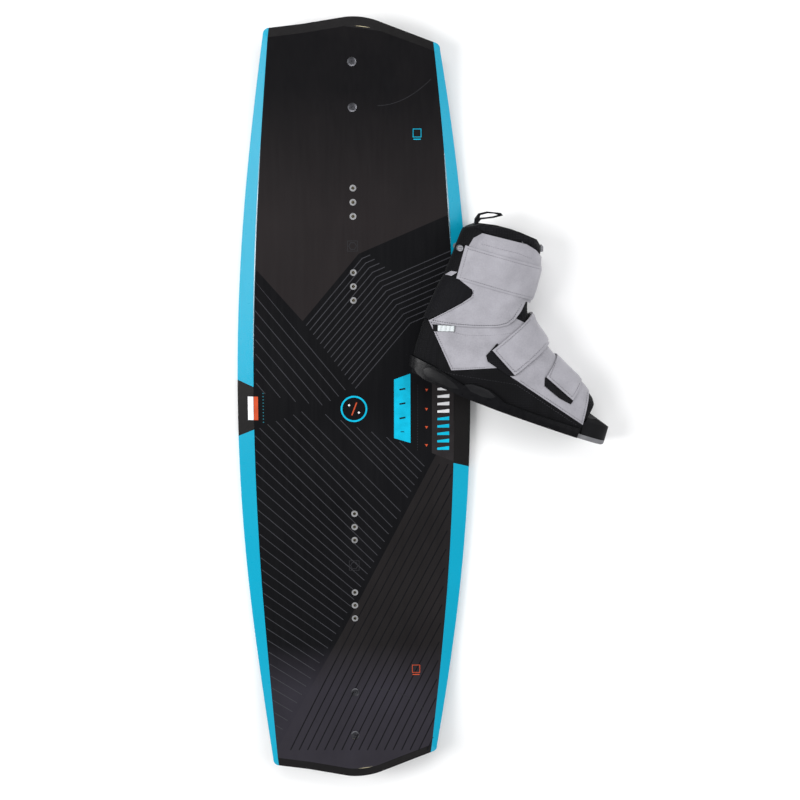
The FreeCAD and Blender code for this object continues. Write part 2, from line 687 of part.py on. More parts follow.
def build_boot():
    place = boot_place()
    volumes = {}

    def lying(thing, name):
        """A finished piece of the boot, moved from the boot's own frame to where the boot lies."""
        thing.Placement = place
        return node(thing, name)

    def volume(grow):
        if grow not in volumes:
            label = f"form_{grow:+.1f}".replace("+", "out_").replace("-", "in_").replace(".", "_")
            volumes[grow] = boot_volume(label, grow)
        return volumes[grow]

    def slab(name, corners):
        """A block right through the boot's width, from an outline seen from the side."""
        return prism(name + "_slab", "XZ_Plane", corners, "2 * d.boot_reach", both_ways=True)

    def wall(name, corners, inner, outer):
        """The part of the boot's wall inside a side-view outline, between two sizes of the boot's form."""
        return cut(name, common(f"{name}_full", volume(outer), slab(name, corners)), volume(inner))

    def panel(name, corners, inner, outer):
        return lying(wall(name, corners, inner, outer), name)

    def side_panel(name, corners, inner, outer):
        """A panel on the outer side of the boot only."""
        sides = wall(f"{name}_both", corners, inner, outer)
        return lying(common(name, sides, outer_side), name)

    def block(name, corner, size):
        box = doc.addObject("Part::Box", name)
        box.Length, box.Width, box.Height = size
        box.Placement.Base = V(*corner)
        return box

    skin, lining = number("d.shell_skin"), number("d.liner_skin")
    gap, reach = number("d.soft_gap"), number("d.boot_reach")
    cuff_in = number("d.cuff_lift")
    cuff_out = cuff_in + number("d.cuff_skin")
    tab_out = gap + number("d.tab_skin")
    strap_in = tab_out + gap
    outer_side = block("outer_side", (-60, -reach, -20), (500, reach - gap / 2, 400))
    inner_side = block("inner_side", (-60, gap / 2, -20), (500, reach - gap / 2, 400))

    # sole
    hollow = slab("sole_cavity", [(-40, 10), (400, 10), (400, 80), (-40, 80)])
    cavity = common("sole_cavity", volume(gap), hollow)
    slots = []
    for i, (x, y) in enumerate(CHASSIS_SLOTS, start=1):
        corners = [
            (f"{x} - d.slot_length / 2", f"{y} - d.slot_half"),
            (f"{x} + d.slot_length / 2", f"{y} - d.slot_half", "d.slot_half"),
            (f"{x} + d.slot_length / 2", f"{y} + d.slot_half"),
            (f"{x} - d.slot_length / 2", f"{y} + d.slot_half", "d.slot_half"),
        ]
        slots.append(prism(f"sole_slot_{i}", "XY_Plane", corners, "60", both_ways=True))
    sole = common("sole", volume(number("d.chassis_lip")), slab("sole", CHASSIS))
    lying(cut("chassis", sole, cavity, *slots), "chassis")
    for name, corners, outer in (("footbed", FOOTBED, -skin - gap), ("toe_block", TOE_BLOCK, 0.0),
                                 ("toe_wedge", TOE_WEDGE, 0.0)):
        lying(common(name, volume(outer), slab(name, corners)), name)

    # upper
    panel("lower_shell", LOWER_SHELL, -skin, 0.0)
    quarters = wall("quarters", QUARTER, -skin, 0.0)
    lying(common("quarter_outer", quarters, outer_side), "quarter_outer")
    lying(common("quarter_inner", quarters, inner_side), "quarter_inner")
    panel("vamp", VAMP, -skin, 0.0)
    panel("toe_band", TOE_BAND, -skin - gap - 2.0, -skin - gap)
    panel("liner_low", LINER_LOW, -skin - lining, -skin - gap)
    panel("liner_high", LINER_HIGH, -skin - lining, cuff_in - gap)
    panel("tongue", TONGUE, -skin - lining, -skin - gap)
    panel("achilles_gusset", GUSSET, cuff_in, cuff_in + 1.5)
    side_panel("mid_strap_tab", MID_STRAP_TAB, gap, tab_out)
    side_panel("toe_strap_tab", TOE_STRAP_TAB, gap, tab_out)
    side_panel("label_tag", LABEL_TAG, gap, tab_out)

    # cuff
    panel("cuff_shell", CUFF_SHELL, cuff_in, cuff_out)
    panel("cuff_spine", CUFF_SPINE, cuff_in, cuff_out)
    panel("collar", COLLAR, -skin - lining, cuff_in - gap)
    rivets = []
    for side in (-1, 1):
        turn = FreeCAD.Rotation(V(1, 0, 0), -90 * side)
        spot = FreeCAD.Placement(V(CUFF_RIVET[0], 18 * side, CUFF_RIVET[1]), turn)
        stud = cylinder(f"rivet_stud_{side + 2}", "d.rivet_radius", 15, spot)
        rivets.append(cut(f"rivet_{side + 2}", stud, volume(cuff_out)))
    lying(group("cuff_rivets", rivets), "cuff_rivets")
    tab = prism("front_tab_blank", "XZ_Plane", FRONT_TAB, "d.front_tab_width", both_ways=True)
    lying(cut("front_tab", tab, volume(cuff_in - gap)), "front_tab")

    # straps, each cut at the middle of the foot into a fixed inner half and a flap that opens
    straps = [
        ("upper_strap", UPPER_STRAP, cuff_out + gap, number("d.upper_strap_skin")),
        ("mid_strap", MID_STRAP, strap_in, number("d.mid_strap_skin")),
        ("toe_strap", TOE_STRAP, strap_in, number("d.toe_strap_skin")),
    ]
    for name, corners, under, thick in straps:
        band = wall(f"{name}_band", corners, under, under + thick)
        lying(common(f"{name}_flap", band, outer_side), f"{name}_flap")
        lying(common(f"{name}_base", band, inner_side), f"{name}_base")

    loop = prism("pull_loop_band", "XZ_Plane", PULL_LOOP, "d.pull_loop_width", both_ways=True)
    eye = prism("pull_loop_eye", "XZ_Plane", PULL_LOOP_EYE, "d.pull_loop_width + 4", both_ways=True)
    lying(cut("pull_loop", loop, eye), "pull_loop")


def write_parts():
    """Checks every object and writes each sub-part to its own file."""
    doc.recompute()
    for thing in doc.Objects:
        if "Invalid" in thing.State or "Error" in thing.State:
            raise RuntimeError(f"{thing.Name} ({thing.Label}) failed: {thing.State}")
    os.makedirs("parts", exist_ok=True)
    for thing in nodes:
        shape = thing.Shape
        if shape.isNull() or not shape.isValid() or not shape.Solids:
            raise RuntimeError(f"{thing.Label} has no valid solid")
        shape.exportStep(f"parts/{thing.Label}.step")
        print(thing.Label, len(shape.Solids), round(shape.Volume), shape.BoundBox)


build_board()
build_boot()
write_parts()
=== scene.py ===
import math

import bmesh
import bpy
from mathutils import Matrix, Vector, noise
from mathutils.bvhtree import BVHTree


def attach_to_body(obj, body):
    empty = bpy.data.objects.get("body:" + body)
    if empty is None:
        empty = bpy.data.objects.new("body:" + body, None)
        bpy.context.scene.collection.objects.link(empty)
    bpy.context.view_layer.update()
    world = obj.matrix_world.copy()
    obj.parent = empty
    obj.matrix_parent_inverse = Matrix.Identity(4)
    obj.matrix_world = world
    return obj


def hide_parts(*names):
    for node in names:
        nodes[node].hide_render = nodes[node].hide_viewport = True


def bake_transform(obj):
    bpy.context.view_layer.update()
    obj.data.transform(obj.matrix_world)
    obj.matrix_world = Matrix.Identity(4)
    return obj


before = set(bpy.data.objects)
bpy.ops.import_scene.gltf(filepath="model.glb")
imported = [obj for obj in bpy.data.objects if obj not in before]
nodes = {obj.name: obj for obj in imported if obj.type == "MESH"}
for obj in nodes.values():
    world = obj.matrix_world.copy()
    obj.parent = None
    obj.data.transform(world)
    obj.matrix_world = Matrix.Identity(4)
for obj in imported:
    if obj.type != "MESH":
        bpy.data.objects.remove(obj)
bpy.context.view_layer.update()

MM = 0.001
scene = bpy.context.scene


# ---------------------------------------------------------------- materials

# places of the colour sockets on a Mix node
MIX_FACTOR, MIX_A, MIX_B, MIX_RESULT = 0, 6, 7, 2


class Graph:
    """A short way to wire one material's nodes."""

    def __init__(self, name):
        self.material = bpy.data.materials.new(name)
        self.material.use_nodes = True
        self.tree = self.material.node_tree
        self.shader = self.tree.nodes["Principled BSDF"]
        self.place = self.add("ShaderNodeTexCoord").outputs["Object"]

    def feed(self, socket, value):
        """Link another node's output to a socket, or set it to a plain value."""
        if isinstance(value, bpy.types.NodeSocket):
            self.tree.links.new(value, socket)
        else:
            socket.default_value = value

    def feed_all(self, made, inputs):
        for key, value in inputs.items():
            self.feed(made.inputs[key.replace("_", " ")], value)
        return made

    def add(self, kind, **inputs):
        return self.feed_all(self.tree.nodes.new(kind), inputs)

    def set(self, **inputs):
        self.feed_all(self.shader, inputs)

    def noise(self, scale, detail=4.0, stretch=None):
        place = self.place
        if stretch:
            place = self.add("ShaderNodeMapping", Vector=place, Scale=stretch).outputs["Vector"]
        return self.add("ShaderNodeTexNoise", Vector=place, Scale=scale, Detail=detail).outputs["Fac"]

    def ramp(self, value, stops):
        made = self.add("ShaderNodeValToRGB", Fac=value)
        elements = made.color_ramp.elements
        while len(elements) < len(stops):
            elements.new(0.5)
        for element, (place, colour) in zip(elements, stops):
            element.position = place
            element.color = (*colour, 1.0)
        return made.outputs["Color"]

    def range(self, value, low, high, start=0.3, end=0.7):
        return self.add("ShaderNodeMapRange", Value=value, From_Min=start, From_Max=end,
                        To_Min=low, To_Max=high).outputs["Result"]

    def math(self, how, a, b):
        made = self.add("ShaderNodeMath")
        made.operation = how
        self.feed(made.inputs[0], a)
        self.feed(made.inputs[1], b)
        return made.outputs[0]

    def mix(self, a, b, factor):
        made = self.add("ShaderNodeMix")
        made.data_type = "RGBA"
        for index, value in ((MIX_FACTOR, factor), (MIX_A, a), (MIX_B, b)):
            self.feed(made.inputs[index], value)
        return made.outputs[MIX_RESULT]

    def bump(self, height, strength, distance):
        made = self.add("ShaderNodeBump", Height=height, Strength=strength, Distance=distance)
        self.set(Normal=made.outputs["Normal"])


def shade(colour, factor):
    return tuple(min(1.0, c * factor) for c in colour)


def hard(name, colour, rough, spread=0.15, metal=0.0, coat=0.0, scratch=0.06, scale=9.0, shine=0.35):
    """Moulded or lacquered: uneven in tone, with fine handling marks in its gloss."""
    g = Graph(name)
    cloud = g.noise(scale, 6)
    g.set(Base_Color=g.ramp(cloud, [(0.3, shade(colour, 1 - spread)), (0.7, shade(colour, 1 + spread))]))
    marks = g.noise(120, 5)
    g.set(Roughness=g.range(marks, rough - scratch, rough + scratch))
    g.set(Metallic=metal, Coat_Weight=coat, Coat_Roughness=0.12, Specular_IOR_Level=shine)
    g.bump(g.noise(700, 2), 0.12, 0.0001)
    return g.material


def suede(name, colour, spread=0.16):
    """Brushed nap: soft blotches where it is stroked, and a fine fibre."""
    g = Graph(name)
    blotch = g.noise(26, 5)
    nap = g.noise(420, 4, (1.0, 1.0, 0.5))
    mixed = g.math("ADD", g.math("MULTIPLY", blotch, 0.65), g.math("MULTIPLY", nap, 0.35))
    g.set(Base_Color=g.ramp(mixed, [(0.34, shade(colour, 1 - spread)), (0.64, shade(colour, 1 + spread))]))
    g.set(Roughness=g.range(nap, 0.82, 0.97), Sheen_Weight=0.25, Sheen_Roughness=0.5)
    g.bump(nap, 0.5, 0.0006)
    return g.material


def woven(name, colour, pitch, rough=0.8, depth=0.0003, sheen=0.1):
    """Two crossing sets of yarns."""
    g = Graph(name)
    waves = []
    for direction in ("X", "Y", "Z"):
        wave = g.add("ShaderNodeTexWave", Vector=g.place, Scale=0.16 / pitch, Distortion=0.6)
        wave.bands_direction = direction
        waves.append(wave.outputs["Fac"])
    crossed = g.math("MULTIPLY", g.math("ADD", waves[0], waves[2]), g.math("ADD", waves[1], 0.4))
    fuzz = g.noise(300, 4)
    tone = g.math("ADD", g.math("MULTIPLY", crossed, 0.35), g.math("MULTIPLY", fuzz, 0.6))
    g.set(Base_Color=g.ramp(tone, [(0.2, shade(colour, 0.6)), (0.9, shade(colour, 1.5))]))
    g.set(Roughness=g.range(fuzz, rough - 0.08, rough + 0.08), Sheen_Weight=sheen, Sheen_Roughness=0.5)
    g.set(Specular_IOR_Level=0.08)
    g.bump(crossed, 0.6, depth)
    return g.material


def ink(name, colour, rough=0.38):
    """Print under the deck's lacquer."""
    g = Graph(name)
    g.set(Base_Color=g.ramp(g.noise(60, 5), [(0.3, shade(colour, 0.88)), (0.7, shade(colour, 1.12))]))
    g.set(Roughness=g.range(g.noise(180, 4, (1.0, 0.08, 1.0)), rough - 0.06, rough + 0.06))
    g.set(Specular_IOR_Level=0.11)
    g.bump(g.noise(500, 2), 0.08, 0.0001)
    return g.material


# Edges of the deck's printed zones, as the rise and the start of a line, in metres.
VEE_LEFT, VEE_RIGHT, VEE_FAR = (-1.129, 0.0570), (1.194, 0.2730), (0.4334, 0.2807)
CORNER_HIGH, CORNER_LOW = (0.513, 0.1967), (0.5625, 0.2180)
ZONE_BLUR = 0.0004
# Where the ground's tone starts to change along the board, and where it has changed; over the bent tail the
# change is a painted reflection.
NOSE_FADE, TAIL_REFLECTION_SPAN = (0.58, 0.34), (-0.455, -0.54)
# the tint of the painted reflection over the bent tail
TAIL_REFLECTION_TINT = (0.029, 0.0265, 0.035, 1.0)


def deck_lacquer():
    """The deck's ground: a worn dark nose, a black middle and a warmer corner, with a painted reflection that
    makes it paler over the bent tail.
    """
    g = Graph("deck_lacquer")
    split = g.add("ShaderNodeSeparateXYZ", Vector=g.place)
    x, y = split.outputs["X"], split.outputs["Y"]

    def slope(along, line):
        return g.math("ADD", g.math("MULTIPLY", along, line[0]), line[1])

    def beyond(value, edge):
        return g.range(g.math("SUBTRACT", value, edge), 0.0, 1.0, -ZONE_BLUR, ZONE_BLUR)

    vee_right = g.math("MINIMUM", slope(x, VEE_RIGHT), slope(x, VEE_FAR))
    nose = beyond(y, g.math("MAXIMUM", slope(x, VEE_LEFT), vee_right))
    corner = beyond(x, g.math("MINIMUM", slope(y, CORNER_HIGH), slope(y, CORNER_LOW)))
    worn = g.noise(7, 8)
    grain = g.noise(26, 6, (1.0, 0.4, 1.0))
    mottle = g.math("ADD", g.math("MULTIPLY", worn, 0.7), g.math("MULTIPLY", grain, 0.3))
    fade = g.range(y, 0.0, 1.0, *NOSE_FADE)
    nose_tone = g.math("ADD", g.math("MULTIPLY", fade, 0.55), g.math("MULTIPLY", mottle, 0.45))
    nose_colour = g.ramp(nose_tone, [(0.2, (0.0050, 0.0047, 0.0055)), (0.85, (0.0175, 0.0145, 0.0150))])
    middle = g.ramp(mottle, [(0.35, (0.0030, 0.0030, 0.0038)), (0.65, (0.0048, 0.0048, 0.0058))])
    warm = g.ramp(mottle, [(0.35, (0.0100, 0.0088, 0.0092)), (0.65, (0.0150, 0.0132, 0.0136))])
    colour = g.mix(g.mix(middle, nose_colour, nose), warm, corner)
    # painted reflection: over the bent tail the ground is mixed, unevenly with the mottle, towards a pale
    # tint
    bent = g.range(y, 0.0, 1.0, *TAIL_REFLECTION_SPAN)
    sheen = g.math("MULTIPLY", bent, g.range(mottle, 0.62, 0.92, 0.35, 0.65))
    g.set(Base_Color=g.mix(colour, TAIL_REFLECTION_TINT, sheen))
    g.set(Roughness=g.range(g.noise(160, 4, (1.0, 0.06, 1.0)), 0.34, 0.44), Specular_IOR_Level=0.11)
    g.bump(g.noise(30, 6), 0.05, 0.0004)
    return g.material


GREY = (0.305, 0.298, 0.328)
M = {
    "deck": deck_lacquer(),
    "base": hard("base_gloss", (0.012, 0.012, 0.013), 0.28),
    "blue": hard("rail_blue", (0.0025, 0.315, 0.475), 0.30, 0.05, coat=0.06, scratch=0.03, scale=4,
                 shine=0.15),
    "gloss": hard("lacquer_edge", (0.10, 0.22, 0.28), 0.12, 0.1, coat=1.0, scratch=0.03, shine=0.6),
    "dark_rail": hard("rail_dark", (0.0075, 0.0066, 0.0068), 0.36, 0.2, shine=0.12),
    "tip": hard("tip_dark", (0.0052, 0.0046, 0.0050), 0.36, 0.25, shine=0.1),
    "core": hard("core_foam", (0.62, 0.55, 0.36), 0.8),
    "fin": hard("fin_nylon", (0.012, 0.012, 0.012), 0.5),
    "steel": hard("screw_steel", (0.10, 0.10, 0.11), 0.34, 0.1, metal=1.0),
    "insert": hard("insert_steel", (0.62, 0.62, 0.63), 0.36, 0.15, metal=1.0),
    "chassis": hard("chassis_nylon", (0.0036, 0.0036, 0.0044), 0.33, 0.25, scratch=0.09, shine=0.16),
    # a lighter copy of the chassis nylon: painted sheen on the swells of the sole plate
    "chassis_painted_sheen": hard("chassis_painted_sheen", (0.0075, 0.0075, 0.0085), 0.36, 0.2, scratch=0.05, shine=0.24),
    "foam": hard("foam_black", (0.0045, 0.0045, 0.0054), 0.62, 0.3, scale=60, shine=0.12),
    "foam_grey": hard("foam_grey", (0.17, 0.17, 0.18), 0.75, 0.15, scale=60),
    "rivet": hard("rivet_grey", (0.16, 0.16, 0.175), 0.42, 0.2),
    "suede": suede("suede_grey", GREY),
    "strap": suede("strap_suede", shade(GREY, 1.04), 0.13),
    "shell": woven("shell_black", (0.0038, 0.0038, 0.0046), 0.0016, 0.70, sheen=0.03),
    "stretch": woven("stretch_black", (0.0042, 0.0042, 0.0055), 0.0011, 0.60, sheen=0.04),
    "liner": woven("liner_knit", (0.0062, 0.0062, 0.0076), 0.0024, 0.86, 0.0006, sheen=0.05),
    "webbing": woven("webbing_black", (0.0048, 0.0048, 0.0058), 0.0020, 0.7, 0.0005, sheen=0.04),
    "grey_web": woven("webbing_grey", (0.26, 0.26, 0.28), 0.0016, 0.8),
    "tag": woven("tag_pale", (0.50, 0.53, 0.54), 0.0009, 0.75, 0.0001),
    "thread": woven("thread_grey", (0.15, 0.145, 0.16), 0.0006, 0.7, 0.0001),
    "thread_dark": woven("thread_dark", (0.035, 0.035, 0.040), 0.0006, 0.7, 0.0001),
    "ink_black": ink("ink_black", (0.0048, 0.0048, 0.0060)),
    "ink_line": ink("ink_line", (0.040, 0.040, 0.046), 0.45),
    "ink_faint": ink("ink_faint", (0.026, 0.026, 0.029), 0.45),
    "ink_brown": ink("ink_brown", (0.0205, 0.0180, 0.0188)),
    "ink_blue": ink("ink_blue", (0.0040, 0.42, 0.62), 0.33),
    "ink_orange": ink("ink_orange", (0.52, 0.075, 0.028), 0.4),
    "ink_white": ink("ink_white", (0.78, 0.78, 0.80), 0.4),
    "ink_teal": ink("ink_teal", (0.02, 0.14, 0.18), 0.4),
}

CAD_FINISH = {
    "foam_core": "core", "deck_sheet": "deck", "base_sheet": "base", "left_nose_rail": "blue",
    "left_tail_rail": "blue", "right_nose_rail": "blue", "right_tail_rail": "blue",
    "left_waist_block": "dark_rail", "right_waist_block": "dark_rail", "nose_cap": "tip",
    "tail_cap": "tip", "nose_inserts": "insert", "tail_inserts": "insert", "nose_fin": "fin",
    "tail_fin": "fin", "nose_fin_screws": "steel", "tail_fin_screws": "steel",
    "nose_fin_washers": "steel", "tail_fin_washers": "steel", "chassis": "chassis", "footbed": "foam",
    "toe_block": "foam", "toe_wedge": "foam_grey", "toe_band": "webbing", "mid_strap_tab": "webbing",
    "toe_strap_tab": "webbing", "label_tag": "webbing", "cuff_rivets": "rivet", "front_tab": "grey_web",
    "pull_loop": "webbing",
}
# how far each hard piece's edges are rounded, in millimetres
CAD_ROUNDING = {
    "chassis": 1.2, "toe_block": 1.6, "toe_wedge": 0.8, "front_tab": 0.6, "pull_loop": 0.7,
    "mid_strap_tab": 0.4, "toe_strap_tab": 0.4, "nose_fin": 1.5, "tail_fin": 1.5, "cuff_rivets": 0.8,
}


def finish(thing, material):
    thing.data.materials.clear()
    thing.data.materials.append(material)


def round_edges(thing, width, sharper_than):
    """Rounds every edge that bends by more than an angle in degrees."""
    rounding = thing.modifiers.new("rounding", "BEVEL")
    rounding.width = width * MM
    rounding.segments = 3
    rounding.limit_method = "ANGLE"
    rounding.angle_limit = math.radians(sharper_than)
    return rounding


for node_name, thing in nodes.items():
    finish(thing, M[CAD_FINISH.get(node_name, "shell")])

for node_name, width in CAD_ROUNDING.items():
    round_edges(nodes[node_name], width, 38).harden_normals = True


# ---------------------------------------------------------------- meshes


def placed(name, mesh, material):
    thing = bpy.data.objects.new(name, mesh)
    scene.collection.objects.link(thing)
    finish(thing, material)
    return thing


def mesh_object(name, vertices, faces, material, smooth=True):
    mesh = bpy.data.meshes.new(name)
    mesh.from_pydata([Vector(v) * MM for v in vertices], [], faces)
    mesh.update()
    for polygon in mesh.polygons:
        polygon.use_smooth = smooth
    return placed(name, mesh, material)


def band(first, second, count, closed=True):
    """Quads between two runs of points, each given by the index that it starts at."""
    return [[first + k, first + (k + 1) % count, second + (k + 1) % count, second + k]
            for k in range(count if closed else count - 1)]


def slab(name, near, far, material):
    """A closed block with flat faces between two matching outlines."""
    count = len(near)
    faces = [list(range(count)), list(range(2 * count - 1, count - 1, -1))] + band(0, count, count)
    thing = mesh_object(name, near + far, faces, material, smooth=False)
    shape = bmesh.new()
    shape.from_mesh(thing.data)
    bmesh.ops.recalc_face_normals(shape, faces=shape.faces)
    shape.to_mesh(thing.data)
    shape.free()
    return thing


# The board in millimetres: level as far as LEVEL_END from its middle, then bent up on arcs.
DECK_TOP, LEVEL_END, ROCKER_RADIUS, BOARD_END = 22.0, 410, 880.0, 700
# how far out the deck gives way to the rails' slopes, and how finely a drape follows the bent ends
RAIL_LINE, DRAPE_STEP = 185.3, 12
# a ray that lands further than this from the deck's level has struck some other face
OTHER_FACE = 4.0
RAY_HEIGHT = 200.0


def face_of_board():
    """The board's upper face as a tree to cast rays on."""
    vertices, polygons = [], []
    for node_name in ("deck_sheet", "left_nose_rail", "left_tail_rail", "right_nose_rail", "right_tail_rail",
                      "left_waist_block", "right_waist_block"):
        mesh = nodes[node_name].data
        base = len(vertices)
        vertices += [v.co / MM for v in mesh.vertices]
        polygons += [[base + k for k in p.vertices] for p in mesh.polygons]
    return BVHTree.FromPolygons(vertices, polygons)


BOARD_FACE = face_of_board()


def deck_height(x, y):
    rise = 0.0
    if abs(y) > LEVEL_END:
        rise = ROCKER_RADIUS - math.sqrt(ROCKER_RADIUS**2 - (abs(y) - LEVEL_END) ** 2)
    level = DECK_TOP + rise
    struck = BOARD_FACE.ray_cast(Vector((x, y, RAY_HEIGHT)), Vector((0, 0, -1)))[0]
    return level if struck is None or abs(struck.z - level) > OTHER_FACE else struck.z


def draped(name, outlines, lift, material):
    """Flat outlines laid on the deck, just proud of it."""
    bends = [end * y for end in (-1, 1) for y in range(LEVEL_END, BOARD_END, DRAPE_STEP)]
    shapes = bmesh.new()

    def split(geometry, place, normal):
        return bmesh.ops.bisect_plane(shapes, geom=geometry, plane_co=place, plane_no=normal)["geom"]

    for outline in outlines:
        face = shapes.faces.new([shapes.verts.new((x, y, 0)) for x, y in outline])
        made = [face, *face.edges, *face.verts]
        low, high = min(y for _, y in outline), max(y for _, y in outline)
        for y in (bend for bend in bends if low < bend < high):
            made = split(made, (0, y, 0), (0, 1, 0))
        low, high = min(x for x, _ in outline), max(x for x, _ in outline)
        for x in (side for side in (-RAIL_LINE, RAIL_LINE) if low < side < high):
            made = split(made, (x, 0, 0), (1, 0, 0))
    for vertex in shapes.verts:
        vertex.co.z = deck_height(vertex.co.x, vertex.co.y) + lift
    bmesh.ops.triangulate(shapes, faces=shapes.faces)
    shapes.normal_update()
    for face in shapes.faces:
        if face.normal.z < 0:
            face.normal_flip()
    mesh = bpy.data.meshes.new(name)
    shapes.to_mesh(mesh)
    shapes.free()
    mesh.transform(Matrix.Scale(MM, 4))
    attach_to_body(placed(name, mesh, material), "board")


def stroke(a, b, width):
    """A thin rectangle from one point to another."""
    a, b = Vector(a), Vector(b)
    across = (b - a).normalized().orthogonal() * width / 2
    return [tuple(a - across), tuple(b - across), tuple(b + across), tuple(a + across)]


def strokes(points, width):
    return [stroke(a, b, width) for a, b in zip(points, points[1:])]


def disc(x, y, radius, sides=24, turn=0.0):
    angles = [turn + 2 * math.pi * i / sides for i in range(sides)]
    return [(x + radius * math.cos(a), y + radius * math.sin(a)) for a in angles]


def ring(x, y, radius, width, sides=48, turn=0.0):
    inner, outer = disc(x, y, radius - width / 2, sides, turn), disc(x, y, radius + width / 2, sides, turn)
    return [[inner[i], outer[i], outer[(i + 1) % sides], inner[(i + 1) % sides]] for i in range(sides)]


def crossing(a, direction, b, c):
    """Where the way from a along a direction meets the line through b and c."""
    (ax, ay), (dx, dy), (bx, by), (cx, cy) = a, direction, b, c
    ex, ey = cx - bx, cy - by
    reach = ((bx - ax) * ey - (by - ay) * ex) / (dx * ey - dy * ex)
    return (ax + dx * reach, ay + dy * reach)


# ---------------------------------------------------------------- deck print

# half widths and arcs of the rails' inner lines, in millimetres
LEFT_WAIST, LEFT_ARC = 185.0, 5800.0
RIGHT_WAIST, RIGHT_ARC = 185.5, 5170.0


def left_rail(y):
    return -(LEFT_WAIST - LEFT_ARC + math.sqrt(LEFT_ARC**2 - y * y))


def right_rail(y):
    return RIGHT_WAIST - RIGHT_ARC + math.sqrt(RIGHT_ARC**2 - y * y)


INSERT_GROUPS, INSERT_PITCH, INSERT_CLEARANCE = (377.8, 225.4), 25.4, 6.0
INSERTS = [(0.0, end * middle + step) for end in (-1, 1) for middle in INSERT_GROUPS
           for step in (-INSERT_PITCH, 0, INSERT_PITCH)]
SHORTEST_STROKE = 2


def clear_of_inserts(lines):
    """Strokes with the lengths that would cross an insert left out."""
    kept = []
    for quad in lines:
        a = (Vector(quad[0]) + Vector(quad[3])) / 2
        b = (Vector(quad[1]) + Vector(quad[2])) / 2
        half = (Vector(quad[3]) - Vector(quad[0])) / 2
        length, along = (b - a).length, (b - a).normalized()
        gaps = []
        for place in INSERTS:
            t = (Vector(place) - a).dot(along)
            miss = (a + along * t - Vector(place)).length
            if miss < INSERT_CLEARANCE and 0 < t < length:
                reach = math.sqrt(INSERT_CLEARANCE**2 - miss * miss)
                gaps.append((t - reach, t + reach))
        start = 0.0
        for low, high in sorted(gaps) + [(length, 0.0)]:
            if low - start > SHORTEST_STROKE:
                p, q = a + along * start, a + along * low
                kept.append([tuple(p - half), tuple(q - half), tuple(q + half), tuple(p + half)])
            start = max(start, high)
    return kept


# corners of the printed zones over the deck, in millimetres
ZONE_LOW, ZONE_TOP, ZONE_RIGHT = (-93.0, 162.0), (10.0, 285.0), (171.5, 355.0)
BEND_END, CENTRE = (107.0, 154.0), (3.0, 37.0)
SEAM_TOP, SEAM_MIDDLE = (148.0, -95.0), (-25.0, -432.0)
# the same seam's left side, where the lines from the left rail stop
STOP_TOP, STOP_MIDDLE, STOP_TAIL = (139.0, -92.0), (-35.0, -432.0), (-134.0, -608.0)
PRINT_END = -650
BROAD_LINE, MIDDLE_LINE, FINE_LINE = 2.0, 1.5, 1.3
# how far each layer of print lies above the deck
GROUND, LINES, PANELS, BLOCKS, MARKS, UPPER_MARKS, EDGE_MARKS = 0.10, 0.12, 0.14, 0.16, 0.18, 0.20, 0.22
CHEVRONS, UPPER_LINES, TAIL_LINES = 15, 8, 18
UPPER_PITCH, LOWER_PITCH, TAIL_PITCH = 22, 23, 16.2
TAIL_LINES_TOP = -105.0


def chevrons():
    """Bent lines along the two upper edges of the dark middle."""
    toward_left = (ZONE_LOW[0] - ZONE_TOP[0], ZONE_LOW[1] - ZONE_TOP[1])
    toward_right = (ZONE_RIGHT[0] - ZONE_TOP[0], ZONE_RIGHT[1] - ZONE_TOP[1])
    lines = []
    for k in range(1, CHEVRONS + 1):
        t = k / (CHEVRONS + 0.5)
        bend = (ZONE_TOP[0] + (BEND_END[0] - ZONE_TOP[0]) * t, ZONE_TOP[1] + (BEND_END[1] - ZONE_TOP[1]) * t)
        low = crossing(bend, toward_left, ZONE_LOW, CENTRE)
        high = crossing(bend, toward_right, (178, 0), (177, 300))
        lines += strokes([low, bend, high], MIDDLE_LINE)
    return lines


def upper_hatch():
    """Lines from the left rail down to a ridge above the board's middle."""
    ridge = [(-200, 34), (-149, 26), (-116, 13), (-68, 6), (-25, 22), (3, 37), (20, 40)]
    slope = (179.0, -219.0)
    lines = []
    for k in range(1, UPPER_LINES + 1):
        start = (-180.0, 256.0 - (UPPER_PITCH * k - 5) * 1.22)
        foot_x = 20 - UPPER_PITCH * k
        foot_y = next(a[1] + (b[1] - a[1]) * (foot_x - a[0]) / (b[0] - a[0])
                      for a, b in zip(ridge, ridge[1:]) if a[0] <= foot_x <= b[0])
        lines.append(stroke(start, crossing(start, slope, (-200, foot_y), (200, foot_y)), FINE_LINE))
    return lines


def lower_hatch():
    """Lines from the ridge and the left rail across to the seam, flatter towards the tail."""
    starts = [(-183, -52), (-175, -37), (-160, -30), (-144, -24), (-129, -19), (-112, -12), (-97, -6),
              (-53, -11), (-25, -22), (5, -35), (32, -44), (60, -54), (84, -63)]
    starts += [(left_rail(y) + 2, y) for y in range(-78, -640, -LOWER_PITCH)]
    lines = []
    for x, y in starts:
        turn = math.radians(46 - 16 * min(1.0, max(0.0, (-y - 30) / 520)))
        way = (math.cos(turn), -math.sin(turn))
        foot = crossing((x, y), way, STOP_TOP, STOP_MIDDLE)
        if foot[1] < STOP_MIDDLE[1]:
            foot = crossing((x, y), way, STOP_MIDDLE, STOP_TAIL)
        if foot[1] > PRINT_END:
            lines.append(stroke((x, y), foot, FINE_LINE))
    return lines


def tail_lines():
    """Black lines over the warm corner, along its seam."""
    down = (SEAM_MIDDLE[0] - SEAM_TOP[0], SEAM_MIDDLE[1] - SEAM_TOP[1])
    lines = []
    for k in range(1, TAIL_LINES + 1):
        x = 147.0 + TAIL_PITCH * k
        start = crossing((x, SEAM_TOP[1]), down, (182, TAIL_LINES_TOP), (150, -600))
        if start[1] > TAIL_LINES_TOP:
            start = (x - 5, TAIL_LINES_TOP)
        if start[1] > -630:
            lines.append(stroke(start, crossing(start, down, (-200, -652), (200, -652)), BROAD_LINE))
    return lines


